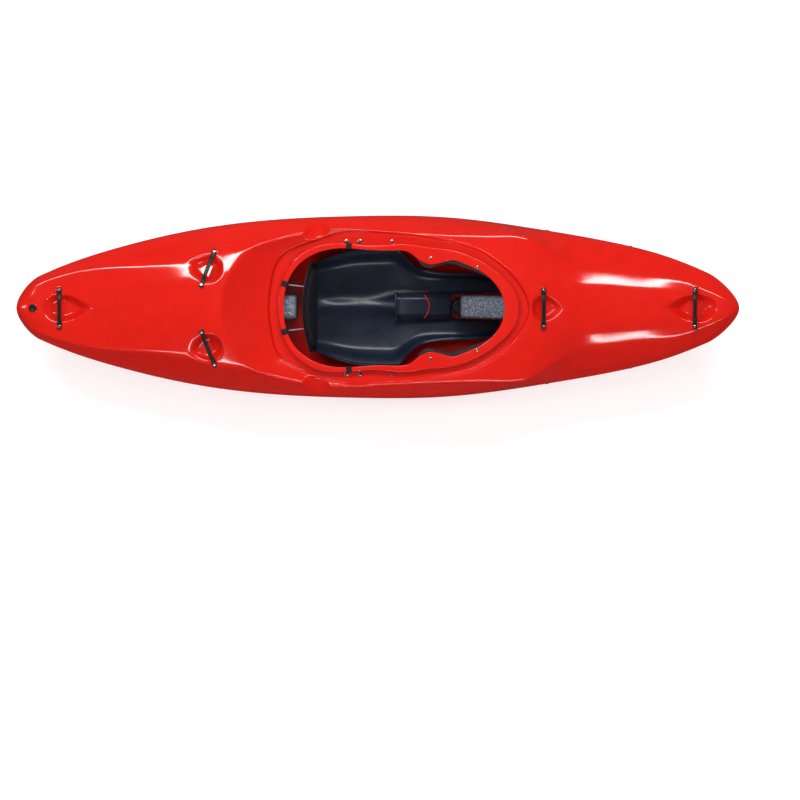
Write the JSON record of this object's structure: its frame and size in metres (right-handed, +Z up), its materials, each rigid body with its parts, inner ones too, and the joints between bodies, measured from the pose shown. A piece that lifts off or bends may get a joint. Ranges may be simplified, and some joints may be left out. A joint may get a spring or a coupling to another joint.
{
  "type": "whitewater kayak",
  "caption": "Short high-volume whitewater kayak with a rockered plastic hull, outfitted cockpit, deck grab bars, sliding foot brace and drain plug.",
  "frame": {"origin": "bottom centre of the bounding box, on the flat of the keel", "axes": "+X to the bow, +Y to port, +Z up"},
  "size_m": [2.565, 0.6554, 0.3873],
  "materials": {
    "red_shell": "glossy rotomoulded polyethylene",
    "navy_plastic": "satin moulded plastic",
    "black_plastic": "fine-grained moulded plastic",
    "black_foam": "closed-cell foam",
    "grey_foam": "speckled closed-cell foam",
    "black_fabric": "woven nylon",
    "webbing": "woven webbing",
    "red_cord": "braided cord",
    "grey_cord": "elastic cord",
    "bright_steel": "bright stainless steel",
    "aluminium": "anodised aluminium"
  },
  "bodies": {
    "hull": {"hull_shell": "red_shell", "front_pillar": "grey_foam", "rear_pillar": "grey_foam", "pillar_cap": "black_plastic", "ratchet_body_port": "black_plastic", "rear_loop_port": "webbing", "rim_strap_port": "webbing", "back_cord_port": "grey_cord", "foot_rail_port": "aluminium", "ratchet_body_starboard": "black_plastic", "rear_loop_starboard": "webbing", "rim_strap_starboard": "webbing", "back_cord_starboard": "grey_cord", "foot_rail_starboard": "aluminium", "stern_bar": "black_plastic", "stern_bar_screw_a": "bright_steel", "stern_bar_screw_b": "bright_steel", "foredeck_bar": "black_plastic", "foredeck_bar_screw_a": "bright_steel", "foredeck_bar_screw_b": "bright_steel", "bow_bar": "black_plastic", "bow_bar_screw_a": "bright_steel", "bow_bar_screw_b": "bright_steel", "port_bar": "black_plastic", "port_bar_screw_a": "bright_steel", "port_bar_screw_b": "bright_steel", "starboard_bar": "black_plastic", "starboard_bar_screw_a": "bright_steel", "starboard_bar_screw_b": "bright_steel", "rail_bolt_aft_port": "bright_steel", "rail_bolt_aft_starboard": "bright_steel", "rail_bolt_fore_port": "bright_steel", "rail_bolt_fore_starboard": "bright_steel", "ratchet_bolt_aft_port": "bright_steel", "ratchet_bolt_aft_starboard": "bright_steel", "ratchet_bolt_fore_port": "bright_steel", "ratchet_bolt_fore_starboard": "bright_steel", "seat_bolt_port": "bright_steel", "seat_bolt_starboard": "bright_steel", "brace_bolt_aft_port": "bright_steel", "brace_bolt_aft_starboard": "bright_steel", "brace_bolt_fore_port": "bright_steel", "brace_bolt_fore_starboard": "bright_steel"},
    "seat": {"seat_pan": "navy_plastic", "seat_hanger_port": "black_plastic", "seat_hanger_starboard": "black_plastic", "lifter_pin": "bright_steel"},
    "lifter": {"leg_lifter": "navy_plastic", "lift_cord": "red_cord"},
    "backband": {"backband_shell": "black_plastic", "backband_pad": "black_fabric", "ladder_strap_port": "black_plastic", "ladder_strap_starboard": "black_plastic"},
    "lever_port": {"ratchet_lever_port": "aluminium"},
    "lever_starboard": {"ratchet_lever_starboard": "aluminium"},
    "brace_port": {"thigh_brace_port": "black_foam"},
    "brace_starboard": {"thigh_brace_starboard": "black_foam"},
    "foot_brace": {"foot_plate": "aluminium", "foot_pad": "black_foam"},
    "drain": {"drain_plug": "black_plastic"}
  },
  "joints": [
    {"name": "seat_slide", "type": "slide", "parent": "hull", "child": "seat", "axis": [1, 0, 0], "range_m": [-0.045, 0]},
    {"name": "leg_lift", "type": "hinge", "parent": "seat", "child": "lifter", "pos_m": [0.066, 0, 0.08243], "axis": [0, -1, 0], "range_deg": [0, 12]},
    {"name": "backband_slide", "type": "slide", "parent": "hull", "child": "backband", "axis": [1, 0, 0], "range_m": [0, 0.07], "deforming": ["back_cord_port", "back_cord_starboard"]},
    {"name": "ratchet_port", "type": "hinge", "parent": "hull", "child": "lever_port", "pos_m": [-0.117, 0.231, 0.22], "axis": [0, 1, 0], "range_deg": [0, 75], "stiffness_Nm_per_rad": 0.05, "springref_deg": -34.38},
    {"name": "ratchet_starboard", "type": "hinge", "parent": "hull", "child": "lever_starboard", "pos_m": [-0.117, -0.231, 0.22], "axis": [0, 1, 0], "range_deg": [0, 75], "stiffness_Nm_per_rad": 0.05, "springref_deg": -34.38},
    {"name": "brace_slide_port", "type": "slide", "parent": "hull", "child": "brace_port", "axis": [-0.9766, 0, -0.2149], "range_m": [0, 0.015]},
    {"name": "brace_slide_starboard", "type": "slide", "parent": "hull", "child": "brace_starboard", "axis": [-0.9766, 0, -0.2149], "range_m": [0, 0.015]},
    {"name": "foot_brace_slide", "type": "slide", "parent": "hull", "child": "foot_brace", "axis": [0.9968, 0, 0.0805], "range_m": [-0.08, 0.06]},
    {"name": "drain_plug_turn", "type": "hinge", "parent": "hull", "child": "drain", "pos_m": [-1.221, 0, 0.316], "axis": [0, 0, 1], "range_deg": [0, 1080]}
  ]
}
